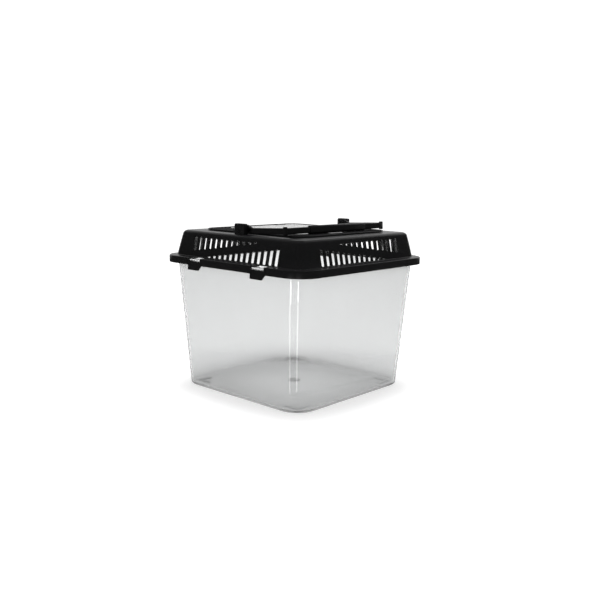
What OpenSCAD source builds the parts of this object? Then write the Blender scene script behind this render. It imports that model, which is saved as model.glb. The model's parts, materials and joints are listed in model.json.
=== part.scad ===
// Plastic pet keeper: a clear tapered tank under a dark slotted lid.
// The lid carries four snap clips, a clear feeding hatch and a folding carry handle.
// The origin is the middle of the feet's underside. The front is -Y and the right is +X.

/* [Tank] */
// Outer width of the tank at its floor
tank_floor_w = 160.4; // [152:0.2:164]
// Outer width of the tank just under its rim
tank_rim_w = 177.4; // [174:0.2:179]
// Height of the tank, feet included
tank_h = 130; // [100:1:180]
// Thickness of the tank's walls
tank_wall = 1.9; // [1.4:0.1:2.4]
// Thickness of the tank's floor
tank_floor_t = 2.2; // [1.6:0.1:3]
// Radius of the tank's upright corners
tank_corner_r = 21.5; // [16:0.5:23]
// Radius of the tank's lower outer edge
tank_edge_r = 3; // [2:0.5:4]
// Width over the rim flange
flange_w = 184.4; // [182:0.2:185]
// Corner radius of the rim flange
flange_corner_r = 24.5; // [22:0.5:26]
// Thickness of the rim flange
flange_t = 1.6; // [1.2:0.1:2]

/* [Feet] */
// Height of the feet
foot_h = 1; // [0.6:0.1:2]
// Width across the feet's outer corners
foot_span = 137; // [120:1:140]
// Length of each arm of an L-shaped foot
foot_arm = 15; // [8:1:20]
// Width of each arm of a foot
foot_w = 2.6; // [2:0.1:4]
// Radius of the gate disc under the floor
gate_r = 7.25; // [5:0.25:10]

/* [Lid] */
// Width over the lid's skirt
lid_w = 190; // [189.8:0.1:191]
// Corner radius of the skirt
skirt_corner_r = 22; // [21:0.5:24]
// Depth of the skirt below the rim
skirt_drop = 5.5; // [5.3:0.1:6]
// Wall thickness of the lid's skirt and top
lid_wall = 1.8; // [1.6:0.1:2]
// Wall thickness of the slotted dome
dome_wall = 1.3; // [1.2:0.1:1.8]
// Thickness of the ledge that rests on the rim
ledge_t = 1.6; // [1.5:0.1:2]
// Width of the dome at its foot
dome_w = 170.4; // [169.4:0.2:172.4]
// Height of the dome above the ledge
dome_h = 24.2; // [23:0.2:30]
// Width of the raised deck
deck_w = 132; // [130:1:134]
// Height of the deck above the dome's top
deck_h = 1.8; // [1.6:0.1:2]

/* [Vent slots] */
// Columns of slots on each side
slot_count = 16; // [8:2:16]
// Distance from one column to the next
slot_pitch = 7.38; // [6.5:0.02:7.6]
// Width of a slot
slot_w = 4.4; // [2:0.1:5]
// Height of the band between the rows of slots
band_h = 7; // [4:0.5:9]
// Rise of that band for each mm along the side
band_slope = 0.15; // [0:0.01:0.16]

/* [Carry handle] */
// Distance from the pivot line to the far side of the handle
handle_reach = 55; // [54:0.5:56]
// Length of the wide grip
grip_l = 80; // [60:1:100]
// Radius of the handle's pivot pins
handle_pin_r = 1.8; // [1.5:0.1:2]

/* [Feeding hatch] */
// Width of the feeding opening
opening_w = 90; // [80:1:92]
// Thickness of the clear pane
pane_t = 1.8; // [1.4:0.1:2]
// Radius of the hatch's hinge pins
hatch_pin_r = 0.9; // [0.7:0.05:1]

/* [Clips] */
// Distance of each clip from the middle of its side
clip_x = 42.7; // [30:0.5:50]
// Width over a clip's posts
clip_w = 20.8; // [18:0.2:24]
// How far a clip's catch reaches in under the flange
catch_reach = 1.7; // [1.4:0.1:1.8]

/* [Hidden] */
$fn = 48;
clear_plastic = "#dfe7ea";
dark_plastic = "#1d1f21";

// Flat faces in each corner of a tapered form
corner_steps = 8;
// A cut runs this far past the face that it opens, and a foot sinks this far into its wall
over = 1;
// Shapes that share a face overlap by this much to become one
join = 0.1;

// Tank
gate_depth = 0.5;
gate_nub_r = 1.2;

// Levels, counted from the surface that the feet stand on
lid_z = tank_h;
skirt_z = lid_z - skirt_drop;
dome_z = lid_z + ledge_t;
plate_z = dome_z + dome_h;
deck_z = plate_z + deck_h;

// Lid
skirt_inner_w = lid_w - 2 * lid_wall;
skirt_edge_r = 1;
dome_lean = 0.2;
dome_curve = 0.002;
dome_foot_r = 7.5;
dome_top_r = 5.5;
shoulder_r = 3;
deck_corner_r = 15;
deck_bevel = 0.6;
frame_w = 5.5;
frame_t = 1.2;
hinge_strip_w = 10;
hinge_strip_l = 80;
hinge_strip_t = 2;

// Vent slots
slot_bottom_z = dome_z + 0.4;
slot_top_z = plate_z - 5.4;
band_z = dome_z + 6.8;
slot_min_h = 0.6;
slot_cut_depth = 9;

// Carry handle, in its own frame: the pivot is the origin and the arms point along X
pivot_z = plate_z + 3;
handle_rise = 3;
strap_t = 3;
strap_h = 5.6;
arm_y = 71.6;
strap_corner_r = 5;
grip_t = 4.6;
grip_h = 7.8;
grip_r = 2;
nub_l = 4;
heel_back = 2.8;
heel_front = 5;
heel_h = 5.8;
heel_foot = 11;
handle_pin_l = 4.7;

// Handle brackets
bracket_y = 72;
bracket_t = 4.6;
bracket_w = 13;
bracket_h = 10;
bracket_r = 1.5;
handle_bore_r = handle_pin_r + 0.05;

// Feeding hatch and its seat in the deck
opening_r = 10;
seat_w = opening_w + 7.6;
pane_gap = 0.4;
pane_w = seat_w - 2 * pane_gap;
pane_r = opening_r - pane_gap;
pane_z = deck_z - 1.2;
hinge_x = -(seat_w / 2 + 2.2);
hinge_z = pane_z + pane_t / 2;
hinge_r = 1.6;
hinge_y = 30;
knuckle_l = 9;
knuckle_gap = 0.25;
ear_t = 2.2;
hatch_pin_l = 2;
hatch_bore_r = hatch_pin_r + 0.05;
hatch_bore_end = 0.15;
pocket_z = plate_z - 0.6;
pocket_reach = 2.2;
ridge_x = pane_w / 2 - 2.9;
ridge_t = 3;
ridge_l = 30;
ridge_h = 2;
ridge_r = 0.8;
scoop_x = seat_w / 2 + 9.2;
scoop_w = 26;

// Clips, on the front side
clip_y = -lid_w / 2;
clip_t = lid_wall;
clip_gap = 0.25;
clip_hinge_y = clip_y + clip_t / 2;
clip_hinge_z = lid_z;
post_w = 2.25;
window_w = clip_w - 2 * post_w;
window_depth = 9;
under_wall_depth = 12.4;
under_wall_h = 1;
strip_h = 3.8;
catch_w = 14;
catch_z = lid_z - flange_t - 0.3;
catch_lip = 0.8;
catch_h = 2.7;
tab_drop = 4.2;
tab_flare = 2;
tab_t = 1.6;
tab_top_w = 18.4;
tab_low_w = 14.4;

function tank_w(z) = tank_floor_w + (tank_rim_w - tank_floor_w) * z / tank_h;
function above_dome_foot(z) = max(0, z - dome_z);
function dome_width(z) =
    dome_w - 2 * dome_lean * above_dome_foot(z) - dome_curve * pow(above_dome_foot(z), 2);
function dome_corner(z) = dome_foot_r - (dome_foot_r - dome_top_r) * above_dome_foot(z) / dome_h;
function band_low(u) = band_z + band_slope * u;
function band_high(u) = band_low(u) + band_h;

module rounded_rect(w, l, r) {
    square([w - 2 * r, l], center = true);
    square([w, l - 2 * r], center = true);
    for (x = [-1, 1], y = [-1, 1])
        translate([x * (w / 2 - r), y * (l / 2 - r)]) circle(r = r);
}

// The points of one level of a tapered form: a square of width w with rounded corners
function ring(w, r, z) = [
    for (q = [0 : 3], i = [0 : corner_steps])
        let (a = 90 * q + 90 * i / corner_steps, c = w / 2 - r,
             sx = q == 0 || q == 3 ? 1 : -1, sy = q < 2 ? 1 : -1)
            [sx * c + r * cos(a), sy * c + r * sin(a), z]
];

// A tapered form that runs through levels, each given as [width, corner radius, height]
module tapered(levels) {
    n = 4 * (corner_steps + 1);
    points = [for (level = levels) each ring(level[0], level[1], level[2])];
    sides = [
        for (k = [0 : len(levels) - 2], i = [0 : n - 1])
            let (j = (i + 1) % n) [k * n + i, (k + 1) * n + i, (k + 1) * n + j, k * n + j]
    ];
    bottom = [for (i = [0 : n - 1]) i];
    top = [for (i = [n - 1 : -1 : 0]) (len(levels) - 1) * n + i];
    polyhedron(points, concat([bottom], sides, [top]));
}

// A rounded square block from z up
module block(w, r, z, h) {
    translate([0, 0, z]) linear_extrude(h) rounded_rect(w, w, r);
}

// Extrudes a shape drawn in X and Z along Y, between two Y positions
module along_y(y1, y2) {
    translate([0, y2, 0]) rotate([90, 0, 0]) linear_extrude(y2 - y1) children();
}

// Extrudes a shape drawn in Y and Z along X, centred on X = 0
module along_x(w) {
    rotate([90, 0, 90]) linear_extrude(w, center = true) children();
}

// The tank's tapered form, moved in by inset, with its lower edge rounded
module tank_form(inset, bottom_z, edge_r, top_z) {
    edge = [
        for (a = [0 : 22.5 : 90])
            let (z = bottom_z + edge_r * (1 - cos(a)), back = inset + edge_r * (1 - sin(a)))
                [tank_w(z) - 2 * back, tank_corner_r - back, z]
    ];
    tapered(concat(edge, [[tank_w(top_z) - 2 * inset, tank_corner_r - inset, top_z]]));
}

module corner_feet() {
    for (a = [0 : 90 : 270])
        rotate([0, 0, a]) translate([foot_span / 2, foot_span / 2, 0]) {
            translate([-foot_w, -foot_arm, 0]) cube([foot_w, foot_arm, foot_h + over]);
            translate([-foot_arm, -foot_w, 0]) cube([foot_arm, foot_w, foot_h + over]);
        }
}

module gate_recess() {
    translate([0, 0, foot_h - over]) difference() {
        cylinder(r = gate_r, h = over + gate_depth);
        cylinder(r = gate_nub_r, h = over + gate_depth);
    }
}

module tank() {
    color(clear_plastic, 0.4) difference() {
        union() {
            tank_form(0, foot_h, tank_edge_r, tank_h);
            block(flange_w, flange_corner_r, tank_h - flange_t, flange_t);
            corner_feet();
        }
        tank_form(tank_wall, foot_h + tank_floor_t, tank_edge_r - 1, tank_h + over);
        gate_recess();
    }
}

// The lid's lower part as a solid, its upper edge rounded
module skirt_form() {
    edge = [
        for (a = [0 : 30 : 90])
            let (back = skirt_edge_r * (1 - cos(a)))
                [lid_w - 2 * back, skirt_corner_r - back, dome_z - skirt_edge_r * (1 - sin(a))]
    ];
    tapered(concat([[lid_w, skirt_corner_r, skirt_z]], edge));
}

// The curved dome as a solid, moved in by inset
module dome_form(inset, bottom_z, top_z, edge_r) {
    wall = [
        for (i = [0 : 3])
            let (z = bottom_z + (top_z - edge_r - bottom_z) * i / 4)
                [dome_width(z) - 2 * inset, dome_corner(z) - inset, z]
    ];
    edge = [
        for (a = [0 : 30 : 90])
            let (z = top_z - edge_r * (1 - sin(a)), back = inset + edge_r * (1 - cos(a)))
                [dome_width(z) - 2 * back, dome_corner(z) - inset, z]
    ];
    tapered(concat(wall, edge));
}

module deck_form() {
    tapered([[deck_w, deck_corner_r, plate_z - 0.5], [deck_w, deck_corner_r, deck_z - deck_bevel],
             [deck_w - 2 * deck_bevel, deck_corner_r - deck_bevel, deck_z]]);
}

// One slot, drawn with u along the side and z up, its ends following the band
module slot(u, low_left, low_right, high_left, high_right) {
    polygon([[u - slot_w / 2, low_left], [u + slot_w / 2, low_right],
             [u + slot_w / 2, high_right], [u - slot_w / 2, high_left]]);
}

module slots_of_one_side() {
    for (i = [0 : slot_count - 1]) {
        u = (i - (slot_count - 1) / 2) * slot_pitch;
        left = u - slot_w / 2;
        right = u + slot_w / 2;
        if (band_low(left) > slot_bottom_z + slot_min_h)
            slot(u, slot_bottom_z, slot_bottom_z, band_low(left), band_low(right));
        if (band_high(right) < slot_top_z - slot_min_h)
            slot(u, band_high(left), band_high(right), slot_top_z, slot_top_z);
    }
}

// Opposite sides have the same slots. The band rises to the right on the front and the
// back, and to the front on the left and the right.
module vent_slots() {
    outside_y = -dome_w / 2 - over;
    inside_y = -dome_w / 2 + slot_cut_depth;
    for (flip = [0, 1]) {
        mirror([0, flip, 0]) along_y(outside_y, inside_y) slots_of_one_side();
        mirror([flip, 0, 0]) rotate([0, 0, 90]) mirror([1, 0, 0])
            along_y(outside_y, inside_y) slots_of_one_side();
    }
}

// Material left under the deck: a frame round the opening, a hinge strip and a scoop pad
module deck_supports() {
    block(opening_w + 2 * frame_w, opening_r + frame_w / 2, plate_z - frame_t, frame_t + join);
    translate([hinge_x - hinge_strip_w / 2, -hinge_strip_l / 2, plate_z - hinge_strip_t])
        cube([hinge_strip_w, hinge_strip_l, hinge_strip_t + join]);
    translate([seat_w / 2, -scoop_w / 2 - 2 * over, plate_z - frame_t])
        cube([scoop_x - seat_w / 2 + 2 * over, scoop_w + 4 * over, frame_t + join]);
}

// A bracket in X and Z, its foot sunk into the dome's top and its upper corners rounded
module bracket_outline() {
    flat_w = bracket_w - 2 * bracket_r;
    translate([-bracket_w / 2, -over]) square([bracket_w, bracket_h - bracket_r + over]);
    translate([-flat_w / 2, 0]) square([flat_w, bracket_h]);
    for (x = [-1, 1]) translate([x * flat_w / 2, bracket_h - bracket_r]) circle(r = bracket_r);
}

module handle_brackets() {
    for (a = [0, 180])
        rotate([0, 0, a]) along_y(bracket_y, bracket_y + bracket_t)
            translate([0, plate_z]) bracket_outline();
}

module hinge_stations() {
    for (station = [-1, 1], side = [-1, 1])
        translate([hinge_x, station * hinge_y + side * (knuckle_l / 2 + knuckle_gap + ear_t / 2), 0])
            along_y(-ear_t / 2, ear_t / 2) {
                translate([0, hinge_z]) circle(r = hinge_r);
                translate([-hinge_r, hinge_z - over]) square([2 * hinge_r, over]);
            }
}

// The hatch's seat, the opening, the knuckles' pockets and the finger scoop
module hatch_cuts() {
    block(opening_w, opening_r, plate_z - 3, deck_h + 3 + over);
    block(seat_w, opening_r, pane_z, deck_h + over);
    for (station = [-1, 1])
        translate([hinge_x - pocket_reach, station * hinge_y - knuckle_l / 2 - knuckle_gap, pocket_z])
            cube([2 * pocket_reach + join, knuckle_l + 2 * knuckle_gap, deck_h + 2 * over]);
    translate([seat_w / 2 - over, -scoop_w / 2, pane_z])
        cube([scoop_x - seat_w / 2 + over, scoop_w, deck_h + over]);
    bore_end = knuckle_l / 2 + hatch_pin_l + hatch_bore_end;
    for (y = [-hinge_y, hinge_y])
        along_y(y - bore_end, y + bore_end) translate([hinge_x, hinge_z]) circle(r = hatch_bore_r);
}

module handle_bores() {
    for (a = [0, 180])
        rotate([0, 0, a]) along_y(bracket_y - over, bracket_y + bracket_t + over)
            translate([0, pivot_z]) circle(r = handle_bore_r);
}

// The notch that each clip hangs in, and the window through the ledge above it. The window's
// low inner part passes under the foot of the dome's wall and lets light through.
module clip_cuts() {
    for (a = [0, 180], x = [-clip_x, clip_x])
        rotate([0, 0, a]) translate([x, clip_y - over, 0]) {
            notch_top = clip_hinge_z + clip_t / 2 + clip_gap;
            translate([-clip_w / 2 - clip_gap, 0, skirt_z - over])
                cube([clip_w + 2 * clip_gap, clip_t + clip_gap + over, notch_top - skirt_z + over]);
            translate([-window_w / 2, 0, skirt_z + strip_h])
                cube([window_w, window_depth + over, dome_z - skirt_z]);
            translate([-window_w / 2, window_depth / 2, lid_z - over])
                cube([window_w, under_wall_depth - window_depth / 2 + over, under_wall_h + over]);
        }
}

module ventilated_lid() {
    color(dark_plastic) difference() {
        union() {
            difference() {
                union() {
                    skirt_form();
                    dome_form(0, dome_z - 0.5, plate_z, shoulder_r);
                    deck_form();
                }
                block(skirt_inner_w, skirt_corner_r - lid_wall, skirt_z - over, skirt_drop + over);
                dome_form(dome_wall, lid_z - over, plate_z - lid_wall, shoulder_r / 2);
                block(deck_w - 2 * lid_wall, deck_corner_r - lid_wall, plate_z - 3, 3);
                vent_slots();
            }
            deck_supports();
            handle_brackets();
            hinge_stations();
        }
        hatch_cuts();
        handle_bores();
        clip_cuts();
    }
}

// The clear pane lies in its seat and turns on pins in the lid's hinge stations
module feeding_hatch() {
    color(clear_plastic, 0.5) union() {
        block(pane_w, pane_r, pane_z, pane_t);
        for (station = [-1, 1]) {
            y = station * hinge_y;
            along_y(y - knuckle_l / 2, y + knuckle_l / 2) {
                translate([hinge_x, hinge_z]) circle(r = hinge_r);
                translate([hinge_x, pane_z]) square([-pane_w / 2 - hinge_x + over, pane_t]);
            }
            pin_span = knuckle_l + 2 * hatch_pin_l;
            along_y(y - pin_span / 2, y + pin_span / 2) translate([hinge_x, hinge_z]) circle(r = hatch_pin_r);
        }
        along_y(-ridge_l / 2, ridge_l / 2)
            translate([ridge_x, pane_z + pane_t]) {
                translate([-ridge_t / 2, -join]) square([ridge_t, ridge_h - ridge_r + join]);
                translate([0, ridge_h / 2]) rounded_rect(ridge_t, ridge_h, ridge_r);
            }
    }
}

// The handle's outline from above: two arms and a cross bar with rounded corners
module strap_outline() {
    difference() {
        union() {
            translate([0, -arm_y]) square([handle_reach - strap_corner_r, 2 * arm_y]);
            translate([handle_reach - 2 * strap_corner_r, 0])
                rounded_rect(4 * strap_corner_r, 2 * arm_y, strap_corner_r);
        }
        translate([-strap_t, 0]) square([2 * handle_reach, 2 * (arm_y - strap_t)], center = true);
    }
}

// The arm's end in X and Z: a round end on the pivot and a stop heel behind it
module arm_end() {
    circle(r = strap_h / 2);
    polygon([[-heel_back, 0], [-heel_back, heel_h], [heel_front, heel_h], [heel_foot, strap_h / 2],
             [heel_foot, 0]]);
}

module carry_handle() {
    color(dark_plastic) translate([0, 0, pivot_z]) rotate([0, -handle_rise, 0]) {
        linear_extrude(strap_h, center = true) strap_outline();
        linear_extrude(grip_h, center = true)
            intersection() {
                strap_outline();
                for (side = [-1, 1])
                    translate([handle_reach - nub_l, side * arm_y - nub_l]) square([nub_l, 2 * nub_l]);
            }
        along_y(-grip_l / 2, grip_l / 2)
            translate([handle_reach - strap_t / 2, 0]) rounded_rect(grip_t, grip_h, grip_r);
        for (a = [0, 180])
            mirror([0, a / 180, 0]) {
                along_y(arm_y - strap_t, arm_y) arm_end();
                along_y(arm_y - over, arm_y + handle_pin_l) circle(r = handle_pin_r);
            }
    }
}

// One clip on the front side: two posts, a cross strip, a catch and a flared finger tab
module clip_shape() {
    for (side = [-1, 1])
        translate([side * (clip_w - post_w) / 2, 0, 0]) along_x(post_w) {
            translate([clip_hinge_y, clip_hinge_z]) circle(r = clip_t / 2);
            translate([clip_y, skirt_z]) square([clip_t, clip_hinge_z - skirt_z]);
        }
    along_x(clip_w) translate([clip_y, skirt_z]) square([clip_t, strip_h]);
    catch_tip_y = clip_y + clip_t + catch_reach;
    along_x(catch_w)
        polygon([[clip_y + over, catch_z], [catch_tip_y, catch_z], [catch_tip_y, catch_z - catch_lip],
                 [clip_y + clip_t, catch_z - catch_h], [clip_y + over, catch_z - catch_h]]);
    tab_z = skirt_z - tab_drop;
    intersection() {
        along_x(tab_top_w)
            polygon([[clip_y, skirt_z + over], [clip_y, skirt_z], [clip_y - tab_flare, tab_z],
                     [clip_y - tab_flare + tab_t, tab_z], [clip_y + tab_t, skirt_z],
                     [clip_y + tab_t, skirt_z + over]]);
        along_y(clip_y - 2 * tab_flare, clip_y + 2 * tab_flare)
            polygon([[-tab_top_w / 2, skirt_z + over], [-tab_top_w / 2, skirt_z], [-tab_low_w / 2, tab_z],
                     [tab_low_w / 2, tab_z], [tab_top_w / 2, skirt_z], [tab_top_w / 2, skirt_z + over]]);
    }
}

module clip_front_left() {
    color(dark_plastic) translate([-clip_x, 0, 0]) clip_shape();
}

module clip_front_right() {
    color(dark_plastic) translate([clip_x, 0, 0]) clip_shape();
}

module clip_back_left() {
    color(dark_plastic) rotate([0, 0, 180]) translate([clip_x, 0, 0]) clip_shape();
}

module clip_back_right() {
    color(dark_plastic) rotate([0, 0, 180]) translate([-clip_x, 0, 0]) clip_shape();
}

tank();
ventilated_lid();
feeding_hatch();
carry_handle();
clip_front_left();
clip_front_right();
clip_back_left();
clip_back_right();
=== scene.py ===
# %% [markdown]
# # A plastic pet keeper
# The keeper is four mouldings: a clear tapered tank, a dark lid with rows of air slots,
# a clear feeding hatch in the lid and a folding carry handle. Four clips bend at the
# lid's skirt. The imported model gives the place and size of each, and this script builds
# the surfaces that are seen, dresses them and lights them.

# %% Load the frame
import json
import math
import bmesh
import bpy
from mathutils import Matrix, Vector


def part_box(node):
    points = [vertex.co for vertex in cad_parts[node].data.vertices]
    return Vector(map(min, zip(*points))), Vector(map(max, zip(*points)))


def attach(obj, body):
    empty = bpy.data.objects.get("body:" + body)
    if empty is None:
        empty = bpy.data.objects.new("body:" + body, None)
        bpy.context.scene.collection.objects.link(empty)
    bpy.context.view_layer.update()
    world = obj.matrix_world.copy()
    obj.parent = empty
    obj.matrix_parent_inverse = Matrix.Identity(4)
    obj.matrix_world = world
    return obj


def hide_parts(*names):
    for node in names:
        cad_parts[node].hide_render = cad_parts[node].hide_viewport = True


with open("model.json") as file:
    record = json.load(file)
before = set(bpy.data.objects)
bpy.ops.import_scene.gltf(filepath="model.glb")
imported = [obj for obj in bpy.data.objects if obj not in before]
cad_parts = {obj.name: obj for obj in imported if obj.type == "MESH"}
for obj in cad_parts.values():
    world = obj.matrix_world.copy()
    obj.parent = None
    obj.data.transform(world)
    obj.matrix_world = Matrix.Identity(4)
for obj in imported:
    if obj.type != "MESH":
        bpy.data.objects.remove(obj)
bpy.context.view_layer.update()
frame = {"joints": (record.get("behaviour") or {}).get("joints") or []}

# %% [markdown]
# ## Sizes
# All shaping is done in millimetres, and each piece is scaled to metres when it is
# finished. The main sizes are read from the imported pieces, so the looks follow the
# construction. The rest are the small sizes that the construction also uses.

# %% Read the main sizes
MM = 0.001


def box_mm(node):
    low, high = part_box(node)
    return low / MM, high / MM


tank_high = box_mm("tank")[1]
lid_low, lid_high = box_mm("ventilated_lid")
clip_low, clip_high = box_mm("clip_front_right")
joint_at = {j["name"]: Vector(j.get("pos_m", (0, 0, 0))) / MM for j in frame["joints"]}
handle_pivot = joint_at["handle_fold"]
hatch_pivot = joint_at["hatch_open"]
clip_pivot = joint_at["clip_front_right_bend"]
print("lid", [round(v, 1) for v in lid_high - lid_low], "handle pivot", handle_pivot)

# %% [markdown]
# ## The camera
# The camera stands where the photograph was taken: a little above the lid, looking at the
# upright corner between the front and the right side. Its place was fitted to the corners
# of the tank and the lid, so the picture's lines fall where the photograph's do.

# %% Place the camera
CAMERA_PLACE = Vector((0.4984, -0.5357, 0.2100))
CAMERA_HEADING = math.radians(132.53)
CAMERA_PITCH = math.radians(9.624)
CAMERA_ROLL = math.radians(0.871)
CAMERA_LENS = 43.99

camera_data = bpy.data.cameras.new("camera")
camera_data.lens = CAMERA_LENS
camera_data.sensor_width = 36
camera = bpy.data.objects.new("camera", camera_data)
bpy.context.scene.collection.objects.link(camera)
camera.matrix_world = (
    Matrix.Translation(CAMERA_PLACE)
    @ Matrix.Rotation(CAMERA_HEADING - math.pi / 2, 4, "Z")
    @ Matrix.Rotation(math.pi / 2 - CAMERA_PITCH, 4, "X")
    @ Matrix.Rotation(CAMERA_ROLL, 4, "Z")
)
bpy.context.scene.camera = camera
view_ahead = Vector((math.cos(CAMERA_HEADING), math.sin(CAMERA_HEADING), 0))
print("camera at", [round(v, 3) for v in CAMERA_PLACE])

# %% [markdown]
# ## Shared finish: moulded grain
# Both plastics come out of polished steel moulds, and nothing moulded is perfectly flat.
# A slow waviness bends the reflections, and a fine grain softens them. The same effect
# serves both plastics with different amounts, so it is one node group. It puts out a
# height for a Bump node and a small variation for the roughness.

# %% Build the grain group
def new_group(name, inputs, outputs):
    group = bpy.data.node_groups.new(name, "ShaderNodeTree")
    for label, kind, default in inputs:
        socket = group.interface.new_socket(name=label, in_out="INPUT", socket_type=kind)
        socket.default_value = default
    for label, kind in outputs:
        group.interface.new_socket(name=label, in_out="OUTPUT", socket_type=kind)
    return group


def add_node(tree, kind, **values):
    node = tree.nodes.new(kind)
    for key, value in values.items():
        if key in node.inputs:
            node.inputs[key].default_value = value
        else:
            setattr(node, key, value)
    return node


def join(tree, source, source_socket, target, target_socket):
    tree.links.new(source.outputs[source_socket], target.inputs[target_socket])


def grey(value):
    return (value, value, value, 1)


grain_group = new_group(
    "moulded_grain",
    [
        ("Vector", "NodeSocketVector", (0, 0, 0)),
        ("Wave Scale", "NodeSocketFloat", 20.0),
        ("Grain Scale", "NodeSocketFloat", 900.0),
        ("Grain Amount", "NodeSocketFloat", 0.2),
        ("Roughness", "NodeSocketFloat", 0.2),
        ("Roughness Spread", "NodeSocketFloat", 0.05),
    ],
    [("Height", "NodeSocketFloat"), ("Roughness", "NodeSocketFloat")],
)
tree = grain_group
group_in = add_node(tree, "NodeGroupInput")
group_out = add_node(tree, "NodeGroupOutput")
waves = add_node(tree, "ShaderNodeTexNoise", Detail=2.0, Roughness=0.4)
grain = add_node(tree, "ShaderNodeTexNoise", Detail=3.0, Roughness=0.6)
join(tree, group_in, "Vector", waves, "Vector")
join(tree, group_in, "Wave Scale", waves, "Scale")
join(tree, group_in, "Vector", grain, "Vector")
join(tree, group_in, "Grain Scale", grain, "Scale")
grain_part = add_node(tree, "ShaderNodeMath", operation="MULTIPLY")
join(tree, grain, "Fac", grain_part, 0)
join(tree, group_in, "Grain Amount", grain_part, 1)
height = add_node(tree, "ShaderNodeMath", operation="ADD")
join(tree, waves, "Fac", height, 0)
join(tree, grain_part, "Value", height, 1)
join(tree, height, "Value", group_out, "Height")
spread = add_node(tree, "ShaderNodeMath", operation="MULTIPLY_ADD")
join(tree, waves, "Fac", spread, 0)
join(tree, group_in, "Roughness Spread", spread, 1)
join(tree, group_in, "Roughness", spread, 2)
join(tree, spread, "Value", group_out, "Roughness")
print("group", grain_group.name, "with", len(tree.nodes), "nodes")

# %% [markdown]
# ## Shared helpers for rays
# A picture of clear plastic needs to tell rays apart: those that carry light, those that
# the eye follows, and those that were mirrored. A ray that went through plastic counts
# as glossy too, so it is taken off the mirrored ones.

# %% Ray helpers
LIGHTING = ("MAXIMUM", "Is Shadow Ray", "Is Diffuse Ray")
SEEN = ("MAXIMUM", "Is Camera Ray", "Is Transmission Ray")
MIRRORED = ("SUBTRACT", "Is Glossy Ray", "Is Transmission Ray")


def rays(nodes, operation, first, second):
    """One for a ray of the kinds that are asked for, and nought for any other."""
    path = add_node(nodes, "ShaderNodeLightPath")
    value = add_node(nodes, "ShaderNodeMath", operation=operation, use_clamp=True)
    join(nodes, path, first, value, 0)
    join(nodes, path, second, value, 1)
    return value


def mix_shaders(nodes, share, first, second):
    mix = add_node(nodes, "ShaderNodeMixShader")
    join(nodes, share, "Value", mix, "Fac")
    join(nodes, first, 0, mix, 1)
    join(nodes, second, 0, mix, 2)
    return mix


print("kinds of ray:", LIGHTING, SEEN, MIRRORED)

# %% [markdown]
# ## Dark plastic
# The lid, handle and clips are black polystyrene, semi-gloss on the walls and lightly
# grained on the deck. Black plastic has almost no colour of its own: what is seen is the
# sheen, so the roughness and the bump carry the look. Two versions share one function.

# %% Dark plastic materials
def plastic_base(name):
    material = bpy.data.materials.new(name)
    material.use_nodes = True
    nodes = material.node_tree
    shader = nodes.nodes["Principled BSDF"]
    coordinates = add_node(nodes, "ShaderNodeTexCoord")
    effect = add_node(nodes, "ShaderNodeGroup", node_tree=grain_group)
    bump = add_node(nodes, "ShaderNodeBump")
    join(nodes, coordinates, "Object", effect, "Vector")
    join(nodes, effect, "Height", bump, "Height")
    join(nodes, bump, "Normal", shader, "Normal")
    join(nodes, effect, "Roughness", shader, "Roughness")
    return material, nodes, shader, effect, bump


def dark_plastic(name, colour, roughness, grain_amount, grain_scale, bump_strength):
    material, nodes, shader, effect, bump = plastic_base(name)
    effect.inputs["Wave Scale"].default_value = 22.0
    effect.inputs["Grain Scale"].default_value = grain_scale
    effect.inputs["Grain Amount"].default_value = grain_amount
    effect.inputs["Roughness"].default_value = roughness
    effect.inputs["Roughness Spread"].default_value = 0.08
    bump.inputs["Strength"].default_value = bump_strength
    bump.inputs["Distance"].default_value = 0.0006
    shader.inputs["Base Color"].default_value = (*colour, 1)
    shader.inputs["IOR"].default_value = 1.5
    return material


dark_gloss = dark_plastic(
    "dark_gloss", (0.011, 0.011, 0.0115), roughness=0.26,
    grain_amount=0.10, grain_scale=1400.0, bump_strength=0.35,
)
dark_grained = dark_plastic(
    "dark_grained", (0.009, 0.009, 0.0095), roughness=0.75,
    grain_amount=0.45, grain_scale=1100.0, bump_strength=0.6,
)
deck_shader = dark_grained.node_tree.nodes["Principled BSDF"]
deck_shader.inputs["Specular IOR Level"].default_value = 0.2
print("dark materials:", dark_gloss.name, dark_grained.name)

# %% [markdown]
# ## Clear plastic
# The tank and the hatch are clear polystyrene. Light must pass through four or more
# surfaces without getting lost, and real clear plastic throws only a light shadow, which
# is darkest where the light runs along a wall. So rays that carry shadow or diffuse light
# go straight through and are dimmed the more, the flatter they meet the surface, and
# every ray that the eye follows is refracted by the real surfaces. A ray that is caught
# in a wall and turned about too often ends in an even grey glow, which is painted light
# in place of the light that it would bring. A faint haze stands for the
# fine scratches of handling.

# %% Clear plastic materials
CLEAR_SHADOW = (0.94, 0.94, 0.94)
FLAT_SHADOW = 0.2
DEEPEST_RAY = 2.5
LOST_RAY_GLOW = 0.45


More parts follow.
